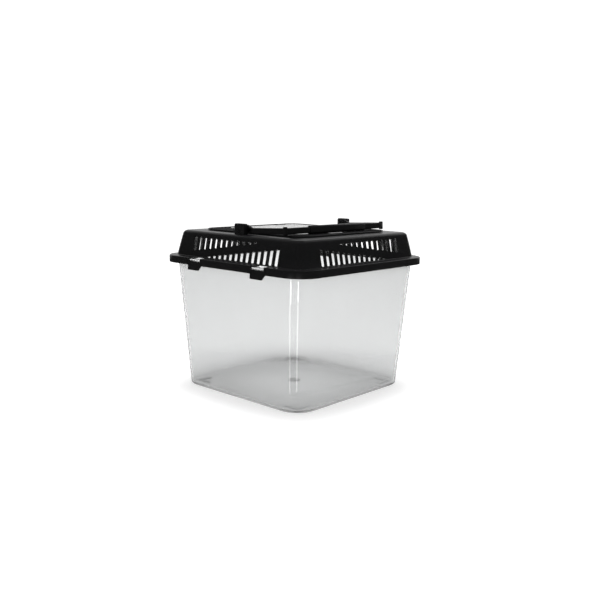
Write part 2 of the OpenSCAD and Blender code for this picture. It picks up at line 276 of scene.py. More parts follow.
def clear_plastic(name, tint, haze, shadow_tint, bump_strength, roughness=0.015):
    material, nodes, shader, effect, bump = plastic_base(name)
    effect.inputs["Wave Scale"].default_value = 14.0
    effect.inputs["Grain Scale"].default_value = 260.0
    effect.inputs["Grain Amount"].default_value = 0.003
    effect.inputs["Roughness"].default_value = roughness
    effect.inputs["Roughness Spread"].default_value = 0.04
    bump.inputs["Strength"].default_value = bump_strength
    bump.inputs["Distance"].default_value = 0.002
    shader.inputs["Base Color"].default_value = (*tint, 1)
    shader.inputs["IOR"].default_value = 1.5
    shader.inputs["Transmission Weight"].default_value = 1 - haze
    through = add_node(nodes, "ShaderNodeBsdfTransparent")
    flatness = add_node(nodes, "ShaderNodeLayerWeight", Blend=0.5)
    tints = add_node(nodes, "ShaderNodeMix", data_type="RGBA")
    tints.inputs["A"].default_value = (*shadow_tint, 1)
    tints.inputs["B"].default_value = grey(FLAT_SHADOW)
    join(nodes, flatness, "Facing", tints, "Factor")
    join(nodes, tints, "Result", through, "Color")
    lit = mix_shaders(nodes, rays(nodes, *LIGHTING), shader, through)
    path = add_node(nodes, "ShaderNodeLightPath")
    deep = add_node(nodes, "ShaderNodeMath", operation="GREATER_THAN")
    join(nodes, path, "Glossy Depth", deep, 0)
    deep.inputs[1].default_value = DEEPEST_RAY
    # A grey glow for rays turned about too often in a wall: painted light.
    lost = add_node(nodes, "ShaderNodeEmission", Color=grey(LOST_RAY_GLOW))
    end = mix_shaders(nodes, deep, lit, lost)
    join(nodes, end, 0, nodes.nodes["Material Output"], "Surface")
    return material


clear_tank = clear_plastic(
    "clear_tank_wall", (0.76, 0.765, 0.765), haze=0.05, shadow_tint=CLEAR_SHADOW, bump_strength=0.12
)
clear_hatch = clear_plastic(
    "clear_hatch_pane", (0.95, 0.95, 0.95), haze=0.05, shadow_tint=CLEAR_SHADOW, bump_strength=0.08
)
# Feet and gate mark: frosted clear plastic with a dark grey tint, which is painted shade.
painted_shade_marks = clear_plastic(
    "painted_shade_marks", (0.3, 0.3, 0.3), haze=0.5, shadow_tint=(0.5, 0.5, 0.5),
    bump_strength=0.3, roughness=0.4,
)
print("clear materials:", clear_tank.name, clear_hatch.name, painted_shade_marks.name)

# %% [markdown]
# ## Helpers for shaping
# Nearly every form here is a square with rounded corners that changes on its way up. A
# loft does that: one ring of points is extruded again and again, and each new ring is set
# to its own width, corner radius and height. A station says where a point sits on the
# ring: on one of the four sides, or on one of the four corners.

# %% Loft helpers
def make_stations(side_places, corner_steps):
    """Stations once round the ring, starting on the front side and going to the right."""
    stations = []
    for side in range(4):
        stations += [(side, "side", place) for place in side_places]
        stations += [(side, "corner", 90 * i / corner_steps) for i in range(corner_steps + 1)]
    return stations


def on_ring(station, half, radius, z, squeeze=1.0):
    """A station's point on a rounded square of half width half, at height z."""
    side, kind, value = station
    if kind == "side":
        x, y = value * squeeze, -half
    else:
        angle = math.radians(value - 90)
        x = half - radius + radius * math.cos(angle)
        y = -(half - radius) + radius * math.sin(angle)
    return Matrix.Rotation(side * math.pi / 2, 3, "Z") @ Vector((x, y, z))


def loft(bm, stations, rings):
    """Extrudes a ring through rings, each a function from station to point."""
    verts = [bm.verts.new(rings[0](s)) for s in stations]
    count = len(verts)
    loops = [verts]
    edges = [bm.edges.new((verts[i], verts[(i + 1) % count])) for i in range(count)]
    for ring in rings[1:]:
        made = bmesh.ops.extrude_edge_only(bm, edges=edges)["geom"]
        new = {v for v in made if isinstance(v, bmesh.types.BMVert)}
        above = [next(e.other_vert(v) for e in v.link_edges if e.other_vert(v) in new) for v in verts]
        for vert, station in zip(above, stations):
            vert.co = ring(station)
        edges = [bm.edges.get((above[i], above[(i + 1) % count])) for i in range(count)]
        verts = above
        loops.append(verts)
    return loops


def level(half, radius, z, squeeze=1.0):
    return lambda station: on_ring(station, half, radius, z, squeeze)


def fillet(half, radius, z, size, start, end, steps=5):
    """Rings round a quarter circle of the given size: its centre is at (half, z)."""
    rings = []
    for i in range(steps + 1):
        a = math.radians(start + (end - start) * i / steps)
        away = size * math.cos(a)
        rings.append(level(half + away, radius + away, z + size * math.sin(a)))
    return rings


print("stations on a plain ring:", len(make_stations([0], 8)))

# %% [markdown]
# ## Helpers for finishing
# Moulded edges are never knife sharp, so each piece has its sharp edges bevelled by a few
# tenths of a millimetre, which is what catches the light. Holes are cut with Blender's
# exact boolean before that. The last helper scales to metres, smooths, names and hands
# the piece to its body.

# %% Finishing helpers
def to_object(bm, name):
    mesh = bpy.data.meshes.new(name)
    bm.to_mesh(mesh)
    bm.free()
    obj = bpy.data.objects.new(name, mesh)
    bpy.context.scene.collection.objects.link(obj)
    return obj


def settle(obj):
    """The object's mesh with its modifiers applied, as a bmesh, and the object removed."""
    graph = bpy.context.evaluated_depsgraph_get()
    mesh = bpy.data.meshes.new_from_object(obj.evaluated_get(graph))
    bm = bmesh.new()
    bm.from_mesh(mesh)
    bpy.data.meshes.remove(mesh)
    bpy.data.objects.remove(obj)
    return bm


def combine(bm, others, operation):
    """Cuts the closed shapes in others from bm, or adds them to it."""
    obj = to_object(bm, "base")
    tools = [to_object(other, "tool") for other in others]
    for tool in tools:
        step = obj.modifiers.new("step", "BOOLEAN")
        step.operation = operation
        step.solver = "EXACT"
        step.object = tool
    result = settle(obj)
    for tool in tools:
        bpy.data.objects.remove(tool)
    return result


def bevel(bm, geom, size, segments, affect="EDGES"):
    bmesh.ops.bevel(
        bm, geom=geom, offset=size, offset_type="OFFSET", segments=segments,
        profile=0.5, affect=affect, clamp_overlap=True, material=-1,
    )


def soften(bm, width, segments=2, angle=35):
    """Rounds each edge that is sharper than the angle."""
    bm.normal_update()
    limit = math.radians(angle)
    sharp = [e for e in bm.edges if len(e.link_faces) == 2 and e.calc_face_angle(0) > limit]
    bevel(bm, sharp, width, segments)


def moved(bm, vec):
    bmesh.ops.translate(bm, vec=vec, verts=bm.verts)
    return bm


def turned(bm, angle, axis):
    """Turned by an angle about an axis through the origin."""
    matrix = Matrix.Rotation(angle, 3, axis)
    bmesh.ops.rotate(bm, cent=(0, 0, 0), matrix=matrix, verts=bm.verts)
    return bm


def push(bm, faces, vec):
    """Extrudes faces by vec, and gives back the far ones."""
    made = bmesh.ops.extrude_face_region(bm, geom=faces)["geom"]
    far = [v for v in made if isinstance(v, bmesh.types.BMVert)]
    bmesh.ops.translate(bm, vec=vec, verts=far)
    return [f for f in made if isinstance(f, bmesh.types.BMFace)]


def prism(outline, vec):
    """A solid whose ends have the outline's shape, and whose length is vec."""
    bm = bmesh.new()
    bm.faces.new([bm.verts.new(place) for place in outline])
    push(bm, list(bm.faces), vec)
    bmesh.ops.recalc_face_normals(bm, faces=bm.faces)
    return bm


def finish_piece(bm, name, body, node, materials, slot, smooth_angle=40):
    bmesh.ops.scale(bm, vec=(MM, MM, MM), verts=bm.verts)
    obj = to_object(bm, name)
    for material in materials:
        obj.data.materials.append(material)
    obj.data.shade_smooth()
    obj.data.set_sharp_from_angle(angle=math.radians(smooth_angle))
    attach(obj, body)
    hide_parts(node)
    print(name, "has", len(obj.data.polygons), "faces")
    return obj


def block(low, high, edge=0.0, segments=2):
    """A box between two corners, its edges rounded."""
    bm = bmesh.new()
    bmesh.ops.create_cube(bm, size=1)
    low, high = Vector(low), Vector(high)
    bmesh.ops.scale(bm, vec=high - low, verts=bm.verts)
    moved(bm, (low + high) / 2)
    if edge:
        soften(bm, edge, segments)
    return bm


def plate(width, height, thickness, corner_radii, edge=0.0, segments=8):
    """A plate in X and Z with its lower edge's middle at the origin and its thickness
    along Y. The corner radii go round from the lower left by the lower right."""
    bm = bmesh.new()
    places = [(-width / 2, 0), (width / 2, 0), (width / 2, height), (-width / 2, height)]
    corners = [bm.verts.new((x, -thickness / 2, z)) for x, z in places]
    bm.faces.new(corners)
    for corner, radius in zip(corners, corner_radii):
        if radius:
            bevel(bm, [corner], radius, segments, "VERTICES")
    push(bm, list(bm.faces), (0, thickness, 0))
    bmesh.ops.recalc_face_normals(bm, faces=bm.faces)
    if edge:
        soften(bm, edge)
    return bm


def rod(radius, length, centre, axis="Y", segments=32, edge=0.0):
    bm = bmesh.new()
    bmesh.ops.create_cone(
        bm, cap_ends=True, segments=segments, radius1=radius, radius2=radius, depth=length
    )
    if axis == "Y":
        turned(bm, math.pi / 2, "X")
    moved(bm, centre)
    if edge:
        soften(bm, edge)
    return bm


def merged(*parts):
    """Several bmeshes as one."""
    whole = bmesh.new()
    for part in parts:
        mesh = bpy.data.meshes.new("part")
        part.to_mesh(mesh)
        part.free()
        whole.from_mesh(mesh)
        bpy.data.meshes.remove(mesh)
    return whole


print("helpers ready")

# %% [markdown]
# ## The tank
# The tank is one clear moulding with tapered walls. Glass-like plastic shows both of its
# surfaces, so the tank is a closed wall with a real inside and outside, and not a single
# sheet. One loft runs from the underside up the outer wall, round the rim flange and
# down the inner wall, and the two floors close it.

# %% Tank sizes
TANK_WALL = 1.9
TANK_FLOOR_HALF = 80.2
TANK_RIM_HALF = 88.7
TANK_CORNER = 21.5
TANK_EDGE = 1.4
TANK_INNER_EDGE = 1.0
FOOT_H = 1.0
FLOOR_T = 2.2
FLANGE_T = 1.6
FLANGE_CORNER = 24.5
RIM_ROUND = 0.5
NECK_ROUND = 1.0
rim_z = tank_high.z
flange_half = tank_high.x


def tank_half(z):
    return TANK_FLOOR_HALF + (TANK_RIM_HALF - TANK_FLOOR_HALF) * z / rim_z


tank_widths = [round(2 * tank_half(z), 1) for z in (0, rim_z)]
print("tank is", tank_widths, "mm wide at the floor and at the rim")

# %% Tank rings
def edge_rings(inset, bottom, size, steps=8):
    rings = []
    for i in range(steps + 1):
        a = math.radians(90 * i / steps)
        z = bottom + size * (1 - math.cos(a))
        back = inset + size * (1 - math.sin(a))
        rings.append(level(tank_half(z) - back, TANK_CORNER - back, z))
    return rings


WALL_HEIGHTS = (30, 60, 90, 115)
flange_low = rim_z - FLANGE_T
neck_z = flange_low - NECK_ROUND
neck_half = tank_half(flange_low) + NECK_ROUND
lip_half = flange_half - RIM_ROUND
lip_corner = FLANGE_CORNER - RIM_ROUND
lip_z = rim_z - RIM_ROUND
inner_corner = TANK_CORNER - TANK_WALL
inner_lip_half = tank_half(rim_z) - TANK_WALL + RIM_ROUND

outer_rings = edge_rings(0, FOOT_H, TANK_EDGE)
outer_rings += [level(tank_half(z), TANK_CORNER, z) for z in (*WALL_HEIGHTS, neck_z)]
outer_rings += fillet(neck_half, TANK_CORNER + NECK_ROUND, neck_z, NECK_ROUND, 180, 90)[1:]
outer_rings += fillet(lip_half, lip_corner, flange_low + RIM_ROUND, RIM_ROUND, -90, 0)
outer_rings += fillet(lip_half, lip_corner, lip_z, RIM_ROUND, 0, 90)
inner_rings = fillet(inner_lip_half, inner_corner + RIM_ROUND, lip_z, RIM_ROUND, 90, 180)
inner_rings += [level(tank_half(z) - TANK_WALL, inner_corner, z) for z in WALL_HEIGHTS[::-1]]
inner_rings += edge_rings(TANK_WALL, FOOT_H + FLOOR_T, TANK_INNER_EDGE)[::-1]
print("tank loft has", len(outer_rings) + len(inner_rings), "rings")

# %% [markdown]
# Under the floor are four L-shaped feet at the corners and, in the middle, the shallow
# round mark where the plastic was injected, with a small stub in it. Both show through
# the clear floor as dark marks, so they are joined to and cut from the one solid. Their
# faces take a dark grey, frosted clear material. The frosting is roughness. The dark
# tint is painted shade for the contact shadow and refraction that darken them.

# %% Build the tank
FOOT_SPAN_HALF = 68.5
FOOT_ARM = 15.0
FOOT_W = 2.6
GATE_R = 7.25
GATE_DEPTH = 0.5
GATE_STUB_R = 1.2
FOOT_SINK = 0.5
MARK_TOLERANCE = 0.05

tank_bm = bmesh.new()
tank_stations = make_stations([-50, -25, 0, 25, 50], 16)
tank_loops = loft(tank_bm, tank_stations, outer_rings + inner_rings)
tank_bm.faces.new(tank_loops[0])
tank_bm.faces.new(tank_loops[-1])
bmesh.ops.recalc_face_normals(tank_bm, faces=tank_bm.faces)

foot_outline = [
    (0, 0, 0), (0, -FOOT_ARM, 0), (-FOOT_W, -FOOT_ARM, 0),
    (-FOOT_W, -FOOT_W, 0), (-FOOT_ARM, -FOOT_W, 0), (-FOOT_ARM, 0, 0),
]
feet = []
for quarter in range(4):
    foot = moved(prism(foot_outline, (0, 0, FOOT_H + FOOT_SINK)), (FOOT_SPAN_HALF, FOOT_SPAN_HALF, 0))
    feet.append(turned(foot, quarter * math.pi / 2, "Z"))
tank_bm = combine(tank_bm, feet, "UNION")

gate = combine(
    rod(GATE_R, 2 * GATE_DEPTH, (0, 0, FOOT_H), "Z", 48),
    [rod(GATE_STUB_R, 4 * GATE_DEPTH, (0, 0, FOOT_H), "Z", 24)],
    "DIFFERENCE",
)
tank_bm = combine(tank_bm, [gate], "DIFFERENCE")
gate_top = FOOT_H + GATE_DEPTH + MARK_TOLERANCE
# Faces of the feet and of the gate mark take the second material, the painted shade.
for face in tank_bm.faces:
    middle = face.calc_center_median()
    on_foot = middle.z < FOOT_H - MARK_TOLERANCE
    on_gate = FOOT_H + MARK_TOLERANCE < middle.z < gate_top and middle.xy.length < GATE_R + 1
    face.material_index = int(on_foot or on_gate)
finish_piece(tank_bm, "tank_shell", "tank", "tank", [clear_tank, painted_shade_marks], "clear_tank", 30)

# %% [markdown]
# ## The lid shell
# The lid is a thin dark shell: a skirt that hangs round the rim, a ledge, a dome with
# leaning walls, a flat top with a raised deck, and a recess round the feeding opening. Each
# side has two rows of slots on either side of a slanted band. The ring of the loft has a
# station at each slot's two edges, and its rows follow the band, so a slot is simply a
# few faces that are left out.

# %% Lid sizes
LEDGE_T = 1.6
WALL_T = 1.8
DOME_T = 1.3
SKIRT_CORNER = 22.0
SKIRT_ROUND = 1.0
DOME_FOOT_HALF = 85.2
DOME_LEAN = 0.2
DOME_CURVE = 0.001
DOME_FOOT_R = 7.5
DOME_TOP_R = 5.5
SHOULDER = 3.0
DECK_HALF = 66.0
DECK_H = 1.8
DECK_CORNER = 15.0
DECK_BEVEL = 0.6
OPENING_HALF = 45.0
OPENING_R = 10.0
SEAT_HALF = 48.8
SEAT_DEPTH = 1.2
PIVOT_H = 3.0

lid_half = lid_high.x
skirt_z = lid_low.z
dome_z = rim_z + LEDGE_T
plate_z = handle_pivot.z - PIVOT_H
deck_z = plate_z + DECK_H
dome_h = plate_z - dome_z


def dome_half(z):
    up = max(0, z - dome_z)
    return DOME_FOOT_HALF - DOME_LEAN * up - DOME_CURVE * up ** 2


def dome_radius(z):
    return DOME_FOOT_R - (DOME_FOOT_R - DOME_TOP_R) * max(0, z - dome_z) / dome_h


print("dome from", round(dome_z, 1), "to", round(plate_z, 1), "mm, deck at", round(deck_z, 1))

# %% Slot layout
SLOT_COUNT = 16
SLOT_PITCH = 7.38
SLOT_W = 4.4
SLOT_MIN_H = 0.6
SLOT_ROUND = 1.1
SLOT_LOW = 0.4
SLOT_BELOW_PLATE = 5.4
ROW_GAP = 0.3
BAND_H = 7.0
BAND_SLOPE = 0.15
BAND_MIDDLE = 6.8
BAND_RISES = (1, -1, -1, 1)
slot_bottom = dome_z + SLOT_LOW
slot_top = plate_z - SLOT_BELOW_PLATE
side_end = DOME_FOOT_HALF - DOME_FOOT_R
slot_centres = [(i - (SLOT_COUNT - 1) / 2) * SLOT_PITCH for i in range(SLOT_COUNT)]
slot_edges = [c + side * SLOT_W / 2 for c in slot_centres for side in (-1, 1)]


def band_low(u):
    return dome_z + BAND_MIDDLE + BAND_SLOPE * u


def low_row(u):
    return min(max(band_low(u), slot_bottom + ROW_GAP), slot_top - 0.5 - ROW_GAP)


def high_row(u):
    return min(max(band_low(u) + BAND_H, low_row(u) + ROW_GAP), slot_top - ROW_GAP)


def along(station):
    """How far along its side a station is, counted the way that the band rises.
    Round a corner it goes over from the one side's end to the next side's start."""
    side, kind, value = station
    if kind == "side":
        return value * BAND_RISES[side]
    start = side_end * BAND_RISES[side]
    end = -side_end * BAND_RISES[(side + 1) % 4]
    return start + (end - start) * value / 90


print(SLOT_COUNT, "columns of slots", SLOT_PITCH, "mm apart on each side")

# %% Rows on the dome's wall
def wall_row(height, inset=0):
    """A ring on the dome's wall whose height depends on the place along the side."""
    def ring(station):
        z = height(along(station))
        return on_ring(station, dome_half(z) - inset, dome_radius(z) - inset, z)
    return ring


def between(low, high, share):
    return lambda u: low(u) + (high(u) - low(u)) * share


def flat(z):
    return lambda u: z


row_heights = [
    flat(slot_bottom),
    between(flat(slot_bottom), low_row, 0.5),
    low_row,
    between(low_row, high_row, 0.5),
    high_row,
    between(high_row, flat(slot_top), 0.5),
    flat(slot_top),
]
LOWER_SLOT_ROWS = (0, 2)
UPPER_SLOT_ROWS = (4, 6)
shoulder_z = plate_z - SHOULDER
row_heights_above = [flat((slot_top + shoulder_z) / 2), flat(shoulder_z)]


def wall_rings(inset):
    return [wall_row(height, inset) for height in row_heights + row_heights_above]


def shoulder_rings(size, inset, top, steps=8):
    """Rings over the rounded shoulder, from the wall to the flat top."""
    rings = []
    for i in range(1, steps + 1):
        a = math.radians(90 * i / steps)
        z = top - size * (1 - math.sin(a))
        back = inset + size * (1 - math.cos(a))
        rings.append(level(dome_half(z) - back, dome_radius(z) - inset, z))
    return rings


print("rows on the wall:", len(row_heights))

# %% Rings of the lid's outside
def deck_level(half, radius, z):
    """A ring on the deck, its side stations drawn together to fit the shorter sides."""
    return level(half, radius, z, (half - radius) / side_end)


LIP = 0.4
FOOT_ROUND = 0.5
seat_z = deck_z - SEAT_DEPTH
middle_of_lip = level(lid_half - WALL_T / 2, SKIRT_CORNER - WALL_T / 2, skirt_z)
skirt_half = lid_half - SKIRT_ROUND
outside = [middle_of_lip]
outside += fillet(lid_half - LIP, SKIRT_CORNER - LIP, skirt_z + LIP, LIP, -90, 0, 3)
outside += fillet(skirt_half, SKIRT_CORNER - SKIRT_ROUND, dome_z - SKIRT_ROUND, SKIRT_ROUND, 0, 90)
for out, up in ((FOOT_ROUND, 0), (0.3 * FOOT_ROUND, 0.3 * FOOT_ROUND)):
    outside.append(level(DOME_FOOT_HALF + out, DOME_FOOT_R + out, dome_z + up))
first_outer_row = len(outside)
outside += wall_rings(0) + shoulder_rings(SHOULDER, 0, plate_z)
outside += [
    deck_level(DECK_HALF + 0.4, DECK_CORNER + 0.4, plate_z),
    deck_level(DECK_HALF + 0.1, DECK_CORNER + 0.1, plate_z + 0.12),
    deck_level(DECK_HALF, DECK_CORNER, plate_z + 0.5),
]
for degrees in (0, 22.5, 45, 67.5, 90):
    a = math.radians(degrees)
    back = DECK_BEVEL * (1 - math.cos(a))
    z = deck_z - DECK_BEVEL * (1 - math.sin(a))
    outside.append(deck_level(DECK_HALF - back, DECK_CORNER - back, z))
outside += [
    deck_level(SEAT_HALF + 0.3, OPENING_R + 0.3, deck_z),
    deck_level(SEAT_HALF + 0.1, OPENING_R + 0.1, deck_z - 0.1),
    deck_level(SEAT_HALF, OPENING_R, deck_z - 0.3),
    deck_level(SEAT_HALF, OPENING_R, seat_z),
    deck_level(OPENING_HALF + 0.3, OPENING_R + 0.3, seat_z),
    deck_level(OPENING_HALF, OPENING_R, seat_z - 0.3),
]
print("outside has", len(outside), "rings")

# %% [markdown]
# The underside follows the outside at the wall's thickness, as in any injection moulding:
# a thick spot would shrink and leave a dent. Under the deck it steps up again, and a
# frame stiffens the edge of the feeding opening.

# %% Rings of the lid's inside
FRAME_W = 5.5
FRAME_DROP = 1.2
frame_z = plate_z - FRAME_DROP
roof_z = plate_z - WALL_T
frame_half = OPENING_HALF + FRAME_W
inside = [
    deck_level(OPENING_HALF, OPENING_R, frame_z),
    deck_level(frame_half, OPENING_R + FRAME_W / 2, frame_z),
    deck_level(frame_half, OPENING_R + FRAME_W / 2, plate_z),
    deck_level(DECK_HALF - WALL_T, DECK_CORNER - WALL_T, plate_z),
    deck_level(DECK_HALF - WALL_T, DECK_CORNER - WALL_T, roof_z),
]
inside += shoulder_rings(SHOULDER / 2, DOME_T, roof_z)[::-1]
first_inner_row = len(outside) + len(inside) + len(row_heights + row_heights_above) - 1
inside += wall_rings(DOME_T)[::-1]
inside += [
    level(DOME_FOOT_HALF - DOME_T, DOME_FOOT_R - DOME_T, rim_z),
    level(lid_half - WALL_T - LIP, SKIRT_CORNER - WALL_T - LIP, rim_z),
    level(lid_half - WALL_T, SKIRT_CORNER - WALL_T, rim_z - LIP),
]
inner_lip = WALL_T - LIP
inside += fillet(lid_half - inner_lip, SKIRT_CORNER - inner_lip, skirt_z + LIP, LIP, 180, 270, 3)
inside.append(middle_of_lip)
print("inside has", len(inside), "rings")

# %% Loft the lid
lid_stations = make_stations(slot_edges, 12)
lid_bm = bmesh.new()
lid_loops = loft(lid_bm, lid_stations, outside + inside)
seam = lid_loops[0] + lid_loops[-1]
print("lid loft has", len(lid_bm.faces), "faces")

# %% [markdown]
# A slot is a few faces left out of the outside and of the inside, with the two openings
# bridged. Its four corners are then rounded, as the pins in a mould are.

# %% Open the slots
def slot_spans(station_index):
    """The row spans that are open between this station and the next, if it starts a slot."""
    side, kind, value = lid_stations[station_index]
    if kind != "side" or slot_edges.index(value) % 2:
        return []
    ends = sorted((along(lid_stations[station_index]), along(lid_stations[station_index + 1])))
    spans = []
    if band_low(ends[0]) > slot_bottom + SLOT_MIN_H:
        spans.append(LOWER_SLOT_ROWS)
    if band_low(ends[1]) + BAND_H < slot_top - SLOT_MIN_H:
        spans.append(UPPER_SLOT_ROWS)
    return spans


def quads(loop_below, loop_above, s, way):
    """The faces between two stations and a run of rows."""
    found = []
    for row in range(loop_below, loop_above, way):
        corners = {lid_loops[row][s], lid_loops[row][s + 1], lid_loops[row + way][s + 1]}
        found += [f for f in lid_loops[row][s].link_faces if corners <= set(f.verts)]
    return found


def rim_of(faces):
    inner = set(faces)
    return [e for f in faces for e in f.edges if sum(g in inner for g in e.link_faces) == 1]


rims = []
slot_faces = []
slot_corners = []
for s in range(len(lid_stations) - 1):
    for start, end in slot_spans(s):
        outer = quads(first_outer_row + start, first_outer_row + end, s, 1)
        inner = quads(first_inner_row - start, first_inner_row - end, s, -1)
        rims.append(rim_of(outer) + rim_of(inner))
        slot_faces += outer + inner
        slot_corners.append([
            (lid_loops[first_outer_row + row][s + i], lid_loops[first_inner_row - row][s + i])
            for row in (start, end) for i in (0, 1)
        ])
bmesh.ops.delete(lid_bm, geom=slot_faces, context="FACES")
for rim in rims:
    bmesh.ops.bridge_loops(lid_bm, edges=rim)
bmesh.ops.remove_doubles(lid_bm, verts=seam, dist=0.001)
bmesh.ops.recalc_face_normals(lid_bm, faces=lid_bm.faces)
print(len(rims), "slots are open")

# %% Round the slots' corners
for corners in slot_corners:
    heights = [pair[0].co.z for pair in corners]
    edges = [lid_bm.edges.get(pair) for pair in corners]
    bevel(lid_bm, edges, min(SLOT_ROUND, 0.2 * (max(heights) - min(heights))), 3)
print("lid has", len(lid_bm.faces), "faces")

# %% [markdown]
# The clips hang in notches in the skirt, below windows that pass through the ledge and
# under the foot of the dome's wall. The hatch's knuckles turn in two pockets, and a scoop
# in the deck lets a finger reach under the handle's grip. These cross the loft's lines,
# so they are cut with boxes.

# %% Cut the lid
CLIP_GAP = 0.25
WINDOW_DEPTH = 9.0
UNDER_WALL_DEPTH = 12.4
UNDER_WALL_H = 1.0
STRIP_H = 3.8
POST_W = 2.25
KNUCKLE_HALF = 4.75
POCKET_REACH = 2.2
POCKET_DEPTH = 2.4
SCOOP_HALF = 13.0
SCOOP_END = 58.0
STATION_Y = 30.0
CLIP_T = 1.8
POST_RISE = 0.9
BEYOND = 2.0
OVER = 3.0

clip_x = clip_pivot.x
clip_half = (clip_high.x - clip_low.x) / 2
post_top = clip_pivot.z + POST_RISE
window_half = clip_half - POST_W
cuts = [
    (clip_half + CLIP_GAP, CLIP_T + CLIP_GAP, -BEYOND, skirt_z - BEYOND, post_top + CLIP_GAP),
    (window_half, WINDOW_DEPTH, -BEYOND, skirt_z + STRIP_H, dome_z + OVER),
    (window_half, UNDER_WALL_DEPTH, WINDOW_DEPTH / 2, rim_z - 0.5, rim_z + UNDER_WALL_H),
]
cutters = []
for side in (-1, 1):
    for x in (-clip_x, clip_x):
        for half, deepest, start, low, high in cuts:
            y = sorted((side * (lid_half - deepest), side * (lid_half - start)))
            cutters.append(block((x - half, y[0], low), (x + half, y[1], high)))
pockets = [
    ((hatch_pivot.x - POCKET_REACH, y - KNUCKLE_HALF, deck_z - POCKET_DEPTH),
     (-SEAT_HALF + 0.5, y + KNUCKLE_HALF, deck_z + OVER))
    for y in (-STATION_Y, STATION_Y)
]
cutters += [block(low, high) for low, high in pockets]
cutters.append(block((SEAT_HALF - 0.5, -SCOOP_HALF, seat_z), (SCOOP_END, SCOOP_HALF, deck_z + OVER)))
lid_bm = combine(lid_bm, cutters, "DIFFERENCE")
bmesh.ops.remove_doubles(lid_bm, verts=lid_bm.verts, dist=0.002)
soften(lid_bm, 0.22, segments=2, angle=50)
for face in lid_bm.faces:
    middle = face.calc_center_median()
    if middle.z > deck_z - 0.05 and face.normal.z > 0.9:
        face.material_index = 1
finish_piece(lid_bm, "lid_shell", "lid", "ventilated_lid", [dark_gloss, dark_grained], "dark_plastic")

# %% [markdown]
# ## Fittings on the lid
# Two square brackets carry the handle's pins, and two pairs of small round-topped ears
# carry the hatch's. Brackets and ears are plates whose upper corners are rounded by
# bevelling their corner points, and the brackets are drilled. A strip under the deck
# closes the pockets of the hatch's knuckles from below.

# %% Brackets and ears
BRACKET_W = 13.0
BRACKET_T = 4.6
BRACKET_Y = 72.0
BRACKET_H = 10.0
BRACKET_SINK = 1.0
BRACKET_ROUND = 1.5
HANDLE_BORE = 1.85
EAR_T = 2.2
EAR_R = 1.6
EAR_ROUND = 1.58
STRIP_HALF = Vector((5.0, 40.0, 1.15))
ON_LID = ("lid", "ventilated_lid", [dark_gloss], "dark_plastic")

for side, label in ((-1, "front"), (1, "back")):
    y = side * (BRACKET_Y + BRACKET_T / 2)
    rounding = (0, 0, BRACKET_ROUND, BRACKET_ROUND)
    bracket = plate(BRACKET_W, BRACKET_H + BRACKET_SINK, BRACKET_T, rounding)
    moved(bracket, (0, y, plate_z - BRACKET_SINK))
    bore = rod(HANDLE_BORE, 2 * BRACKET_T, (handle_pivot.x, y, handle_pivot.z))
    bracket = combine(bracket, [bore], "DIFFERENCE")
    soften(bracket, 0.35, segments=3)
    finish_piece(bracket, f"handle_bracket_{label}", *ON_LID)

ears = []
ear_h = hatch_pivot.z + EAR_R - plate_z
for y in (-STATION_Y, STATION_Y):
    for side in (-1, 1):
        place = (hatch_pivot.x, y + side * (KNUCKLE_HALF + EAR_T / 2), plate_z)
        ears.append(moved(plate(2 * EAR_R, ear_h, EAR_T, (0, 0, EAR_ROUND, EAR_ROUND), 0.15), place))
finish_piece(merged(*ears), "hatch_hinge_ears", *ON_LID)

strip_middle = Vector((hatch_pivot.x, 0, plate_z - 0.85))
strip = block(strip_middle - STRIP_HALF, strip_middle + STRIP_HALF)
strip = combine(strip, [block(low, high) for low, high in pockets], "DIFFERENCE")
soften(strip, 0.2)
finish_piece(strip, "hatch_hinge_strip", *ON_LID)

# %% [markdown]
# ## The feeding hatch
# A clear pane with rounded corners lies in its seat. It has two knuckles with pins along
# its left edge and a ridge to pull on at its right. The pane is a plate laid flat, and its
# edge is rounded, because a clear edge shows as a bright line.

# %% Build the hatch
PANE_HALF = 48.4
PANE_T = 1.8
PANE_R = 9.6
KNUCKLE_R = 1.6
KNUCKLE_L = 9.0
HATCH_PIN_R = 0.9
HATCH_PIN_L = 2.0
RIDGE_X = 45.5
RIDGE_T = 3.0
RIDGE_L = 30.0
RIDGE_H = 2.0

pane_top = seat_z + PANE_T
pane = plate(2 * PANE_HALF, 2 * PANE_HALF, PANE_T, (PANE_R,) * 4, segments=12)
turned(moved(pane, (0, 0, -PANE_HALF)), -math.pi / 2, "X")
moved(pane, (0, 0, seat_z + PANE_T / 2))
hatch_parts = []
for y in (-STATION_Y, STATION_Y):
    centre = (hatch_pivot.x, y, hatch_pivot.z)
    hatch_parts.append(rod(KNUCKLE_R, KNUCKLE_L, centre))
    hatch_parts.append(rod(HATCH_PIN_R, KNUCKLE_L + 2 * HATCH_PIN_L, centre, segments=20))
    bridge_low = (hatch_pivot.x, y - KNUCKLE_L / 2, seat_z)
    hatch_parts.append(block(bridge_low, (-PANE_HALF + 1, y + KNUCKLE_L / 2, pane_top)))
ridge_low = (RIDGE_X - RIDGE_T / 2, -RIDGE_L / 2, pane_top - 0.2)
ridge_high = (RIDGE_X + RIDGE_T / 2, RIDGE_L / 2, pane_top + RIDGE_H)
hatch_parts.append(block(ridge_low, ridge_high, 0.8, 4))
hatch_bm = combine(pane, hatch_parts, "UNION")
soften(hatch_bm, 0.25, segments=3)
finish_piece(hatch_bm, "hatch_pane", "hatch", "feeding_hatch", [clear_hatch], "clear_hatch")

# %% [markdown]
# ## The carry handle
# The handle is a flat strap bent into a U, with a thicker grip in its middle, small nubs
# at its corners and a stop heel beside each pivot. The strap is one square of plastic
# extruded along an arm, spun round the corner and extruded on, which keeps its thickness
# the same all the way. It is shaped lying flat with its pivot at the origin, and then
# lifted a little, because the grip rests on the deck.

